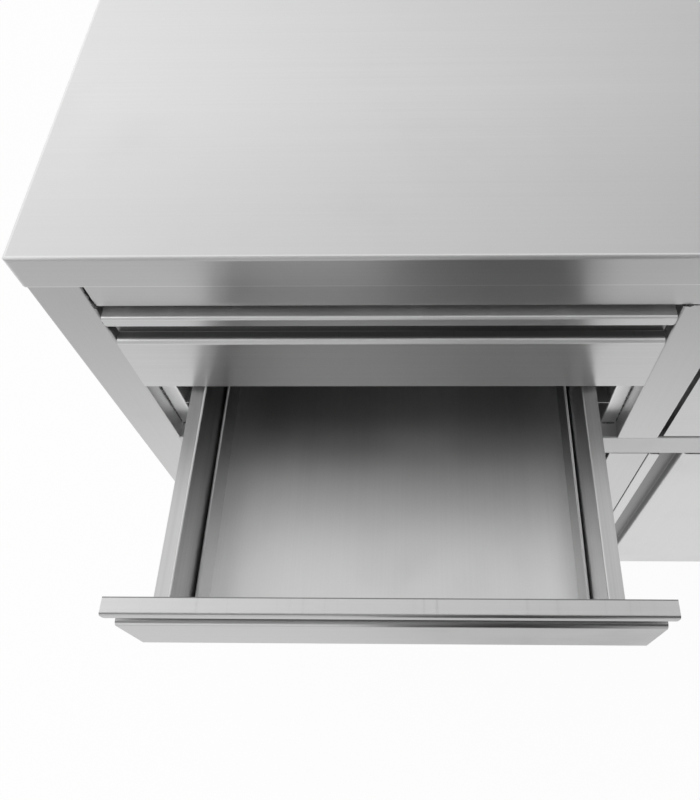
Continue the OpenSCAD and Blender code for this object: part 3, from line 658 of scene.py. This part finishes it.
# The drawer sides and the tray rims get a full painted highlight on their folds.
side_steel = fold_lit_steel("brushed_steel_sides", SIDE_GREY, SIDE_BELT, contrast=5.0, anisotropy=0.85)
rim_steel = fold_lit_steel("brushed_steel_rims", RIM_GREY, ROLLED, contrast=1.0, anisotropy=0.0)
own_steels = {
    "worktop": worktop_steel(),
    "runner_posts": Sheet("brushed_steel_posts", "z", POST_GREY, BELT).finished(),
    **{tray: tray_steel(tray) for tray in TRAYS},
}
grip_steels = {grip: grip_steel(grip) for grip in GRIPS}
print(f"steels: {len(own_steels)} for single pieces, {len(grip_steels)} for fronts and doors")

# %% [markdown]
# ## Zinc
# The runners, pivots and foot plates are zinc plated. The plating grows in small crystals
# that each mirror a little differently. A noise has no edges between its spots, but a
# crystal has, so cells vary the gloss. A cloud varies the colour between two greys, the
# duller one a trace bluer.

# %% Zinc
CRYSTALS_PER_M = 220.0
CLOUDS_PER_M = 30.0
CLOUD_RANGE = (0.35, 0.7)
DULL_ZINC = (0.62, 0.63, 0.65, 1)
BRIGHT_ZINC = (0.70, 0.71, 0.72, 1)
ZINC_ROUGH, CRYSTAL_GLOSS, CLOUD_GLOSS = 0.36, 0.08, 0.06
FIRST_COLOUR, SECOND_COLOUR, MIXED_COLOUR = 6, 7, 2    # sockets of the Mix node for colours


def zinc_plate():
    finish = Finish(bpy.data.materials.new("zinc_plate"))
    place = finish.object_place()
    cells = {"Vector": place, "Scale": CRYSTALS_PER_M}
    crystals = finish.node("ShaderNodeTexVoronoi", {"feature": "F1"}, cells)
    cloud = blotches(finish, place, CLOUDS_PER_M, *CLOUD_RANGE)
    greys = {"Factor": cloud, FIRST_COLOUR: DULL_ZINC, SECOND_COLOUR: BRIGHT_ZINC}
    tone = finish.node("ShaderNodeMix", {"data_type": "RGBA"}, greys, output=MIXED_COLOUR)
    rough = ZINC_ROUGH + crystals * CRYSTAL_GLOSS + cloud * CLOUD_GLOSS
    return finish.surface(principled(finish, tone, rough, metal=1.0))


zinc = zinc_plate()
print("zinc ready")

# %% [markdown]
# ## Rubber and plastic
# The knock bar's sleeve is matt rubber, dusted where grounds are knocked on it, and the
# bin, the catches and the foot pads are moulded black plastic. Both come out of a mould
# with a fine grain, so one function makes the two, with the grain's fineness and depth.

# %% Rubber and plastic
DUST_PER_M = 24.0
DUST_RANGE = (0.52, 0.8)
DUST_TONE, DUST_GLOSS = 0.03, 0.1
GRAIN_DETAIL, GRAIN_GLOSS = 3.0, 0.1


def black_moulding(name, grey, roughness, grain_per_m, depth):
    finish = Finish(bpy.data.materials.new(name))
    place = finish.object_place()
    grain = noise(finish, place, grain_per_m, GRAIN_DETAIL)
    dust = blotches(finish, place, DUST_PER_M, *DUST_RANGE)
    tone = grey_colour(finish, grey + dust * DUST_TONE)
    rough = roughness + (grain - MEAN) * GRAIN_GLOSS + dust * DUST_GLOSS
    return finish.surface(principled(finish, tone, rough, Normal=bump(finish, grain * depth)))


rubber = black_moulding("black_rubber", grey=0.045, roughness=0.62, grain_per_m=900.0, depth=0.00012)
plastic = black_moulding("black_plastic", grey=0.05, roughness=0.45, grain_per_m=1400.0, depth=0.00006)
print("rubber and plastic ready")

# %% [markdown]
# ## Which way each sheet was brushed
# A sheet is cut so that the brushing runs along its length: across the front on the
# worktop, the rails and the drawer fronts, upright on the stiles, posts, sides and doors,
# and from front to back in the drawers. A list of all the pieces could say so, but words
# in their names are enough, and the record's slots say which metal each piece is.

# %% Finishes on the pieces
LENGTHWISE = ("drawer_side", "drawer_tray", "runner_brackets", "partition", "drawer_runner", "runner_outer")
UPRIGHT = ("side_panel", "centre_stile", "runner_posts", "back_panel", "foot_tubes", "knock_bar")
PLAIN = {"zinc_plate": zinc, "black_rubber": rubber, "black_plastic": plastic}
slot_of = {row["node"]: row["material_slot"] for row in frame["record"]["subparts"]}


def grain_of(name):
    if any(word in name for word in LENGTHWISE):
        return "y"
    return "z" if any(word in name for word in UPRIGHT) else "x"


def finish_of(name):
    slot = slot_of[name]
    if slot in PLAIN:
        return PLAIN[slot]
    if name.endswith(("_front", "_skin")):
        return grip_steels[name.rsplit("_", 1)[0]]
    if "drawer_side" in name:
        return side_steel
    return own_steels.get(name) or steels[slot][grain_of(name)]


for name, piece in nodes.items():
    piece.data.materials.clear()
    piece.data.materials.append(finish_of(name))
print(f"{len(nodes)} pieces finished")

# %% [markdown]
# ## Weld metal
# Two kinds of small piece are still missing: beads of weld, and the rolled rims of the
# trays. Weld that nobody ground off is dark and crusty, with burnt patches that are
# duller than the bare bead. Two noises could give bumps and patches, but one does both
# here, so the raised places are the bare ones. Each small piece is closed, smoothed and
# set on its body.

# %% Weld metal
CRUST_PER_M, CRUST_DETAIL, CRUST_DEPTH = 520.0, 4.0, 0.0006
BARE_RANGE = (0.38, 0.66)
BURNT_GREY, BARE_LIFT = 0.07, 0.30
BURNT_ROUGH, BARE_GLOSS = 0.62, 0.15
SAME_PLACE = 0.00001


def weld_metal():
    finish = Finish(bpy.data.materials.new("weld_metal"))
    crust = noise(finish, finish.object_place(), CRUST_PER_M, CRUST_DETAIL)
    bare = finish.between(crust, *BARE_RANGE)
    tone = grey_colour(finish, BURNT_GREY + bare * BARE_LIFT)
    rough = BURNT_ROUGH - bare * BARE_GLOSS
    crusty = bump(finish, crust * CRUST_DEPTH)
    return finish.surface(principled(finish, tone, rough, metal=1.0, Normal=crusty))


def small_piece(work, name, body, finish):
    """The finished bmesh as an object that rides on a body."""
    bmesh.ops.remove_doubles(work, verts=work.verts, dist=SAME_PLACE)
    bmesh.ops.recalc_face_normals(work, faces=work.faces)
    for face in work.faces:
        face.smooth = True
    made = object_of(work, name, finish)
    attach(made, body)
    print(f"{name}: {len(made.data.polygons)} faces")


def grown_from(work, edges):
    """The ring of edges extruded once, in place: its new vertices and its new edges."""
    grown = bmesh.ops.extrude_edge_only(work, edges=edges)["geom"]
    ring = [part for part in grown if isinstance(part, bmesh.types.BMVert)]
    new_edges = [part for part in grown if isinstance(part, bmesh.types.BMEdge)]
    return ring, [edge for edge in new_edges if all(corner in ring for corner in edge.verts)]


print("weld metal ready")

# %% [markdown]
# ## Shaping a bead
# A bead is a lumpy rod. It could be sculpted, but here it starts as a small ring that is
# extruded step by step, and each new ring is swollen or shrunk about its own middle. The
# swelling follows two sines with lengths that don't match, so no two lumps come out alike
# and the file needs no dice.

# %% Shaping a bead
RING_SIDES = 10
RING_STEP = 0.0011
FEWEST_STEPS = 4
TIP, TIP_POWER = 0.35, 0.4
MEAN_SWELL = 0.82
SHORT_LUMPS, SHORT_SWELL = 1.7, 0.14
LONG_LUMPS, LONG_SWELL = 0.63, 0.10


def swelling(share, step, phase):
    """How thick a bead is at that share of its length: thin at its tips, lumpy between."""
    taper = TIP + (1 - TIP) * math.sin(math.pi * share) ** TIP_POWER
    short = SHORT_SWELL * math.sin(step * SHORT_LUMPS + phase)
    long = LONG_SWELL * math.sin(step * LONG_LUMPS + phase)
    return taper * (MEAN_SWELL + short + long)


def bead(work, start, end, thickness, phase):
    """A lumpy closed rod from start to end."""
    along = end - start
    steps = max(FEWEST_STEPS, round(along.length / RING_STEP))
    turn = along.to_track_quat("Z", "Y").to_matrix().to_4x4()
    radius = thickness * TIP
    ring = bmesh.ops.create_circle(
        work, cap_ends=True, segments=RING_SIDES, radius=radius, matrix=Matrix.Translation(start) @ turn
    )["verts"]
    edges = [edge for edge in work.edges if all(corner in ring for corner in edge.verts)]
    for step in range(1, steps + 1):
        share = step / steps
        ring, edges = grown_from(work, edges)
        bmesh.ops.translate(work, vec=along / steps, verts=ring)
        wanted = thickness * swelling(share, step, phase)
        about_middle = Matrix.Translation(-(start + along * share))
        bmesh.ops.scale(work, vec=(wanted / radius,) * 3, space=about_middle, verts=ring)
        radius = wanted
    bmesh.ops.contextual_create(work, geom=edges)


print("beads can be shaped")

# %% [markdown]
# ## Beads of weld
# Weld is left where the top rail meets the stiles, and where the posts stand on the shelf.
# Each bead is given by the corner that it sits in, its start and end from there, across
# and upwards, and its thickness, all in millimetres. Places in the room would do as well,
# but from their corners the beads follow the frame if a sheet ever moves.

# %% Beads of weld
MM = 0.001
STILE_WIDTH = 0.048
PHASE_STEP = 1.3

rail_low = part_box("top_rail")[0]
post_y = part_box("runner_posts")[0].y
shelf_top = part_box("divider_shelf")[1].z
stile_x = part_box("side_panel_right")[1].x - STILE_WIDTH
middle_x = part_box("centre_stile_upper")[1].x
post_height = (rail_low.z - shelf_top) / MM

left_rail = Vector((-stile_x, rail_low.y, rail_low.z))
right_rail = Vector((stile_x, rail_low.y, rail_low.z))
middle_left_rail = Vector((-middle_x, rail_low.y, rail_low.z))
middle_right_rail = Vector((middle_x, rail_low.y, rail_low.z))
left_post = Vector((-stile_x, post_y, shelf_top))
middle_post = Vector((-middle_x, post_y, shelf_top))

beads = [
    (left_rail, (1.2, -2), (1.2, 9), 2.2),
    (left_rail, (1.2, 16), (1.2, 20), 1.5),
    (left_rail, (-1.0, -25), (-0.6, -29), 1.2),
    (middle_left_rail, (-2, 0), (8, 0), 1.8),
    (middle_right_rail, (2, 0), (-6, 0), 1.6),
    (right_rail, (-1.2, -2), (-1.2, 8), 2.0),
    (left_post, (0, 4), (0, post_height - 4), 2.0),
    (middle_post, (0, 4), (0, post_height - 4), 2.0),
    (left_post, (1, 0), (17, 0), 1.6),
    (middle_post, (-1, 0), (-17, 0), 1.6),
]

welds = bmesh.new()
for number, (corner, start, end, thickness) in enumerate(beads):
    first, last = (corner + Vector((across, 0, upwards)) * MM for across, upwards in (start, end))
    bead(welds, first, last, thickness * MM, number * PHASE_STEP)
small_piece(welds, "frame_welds", "cabinet", weld_metal())

# %% [markdown]
# ## Rolled rims of the trays
# A tray lifts out, so its rim is rolled over and doesn't cut the hand. A curve with a
# round bevel could draw it, but would have to be turned into a mesh. Here a ring starts
# on a long side, is pushed along each side and spun a quarter turn round each corner, and
# the last ring is merged into the first.

# %% Rolled rims
RIM_RADIUS = 0.0014
RIM_SIDES = 12
SHEET_THICKNESS = 0.0012
CORNER = 0.006
CORNER_STEPS = 8
half_sheet = SHEET_THICKNESS / 2
turn_radius = CORNER - half_sheet


def rolled_rim(tray):
    low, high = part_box(tray)
    left, right_end = low.x + half_sheet, high.x - half_sheet
    near, far = low.y + half_sheet, high.y - half_sheet
    length, width = far - near - 2 * turn_radius, right_end - left - 2 * turn_radius
    corners = [
        ((0, length), (left + turn_radius, far - turn_radius)),
        ((width, 0), (right_end - turn_radius, far - turn_radius)),
        ((0, -length), (right_end - turn_radius, near + turn_radius)),
        ((-width, 0), (left + turn_radius, near + turn_radius)),
    ]
    rim = bmesh.new()
    stood_up = Matrix.Rotation(math.radians(90), 4, "X")
    start = Matrix.Translation((left, near + turn_radius, high.z)) @ stood_up
    bmesh.ops.create_circle(rim, cap_ends=False, segments=RIM_SIDES, radius=RIM_RADIUS, matrix=start)
    edges = list(rim.edges)
    for (step_x, step_y), (turn_x, turn_y) in corners:
        ring, edges = grown_from(rim, edges)
        bmesh.ops.translate(rim, vec=(step_x, step_y, 0), verts=ring)
        spun = bmesh.ops.spin(
            rim,
            geom=edges,
            cent=(turn_x, turn_y, high.z),
            axis=(0, 0, 1),
            angle=math.radians(-90),
            steps=CORNER_STEPS,
            use_duplicate=False,
        )["geom_last"]
        edges = [part for part in spun if isinstance(part, bmesh.types.BMEdge)]
    small_piece(rim, f"{tray}_rim", tray.replace("_tray", ""), rim_steel)


for tray in TRAYS:
    rolled_rim(tray)

# %% Done
print("scene built")
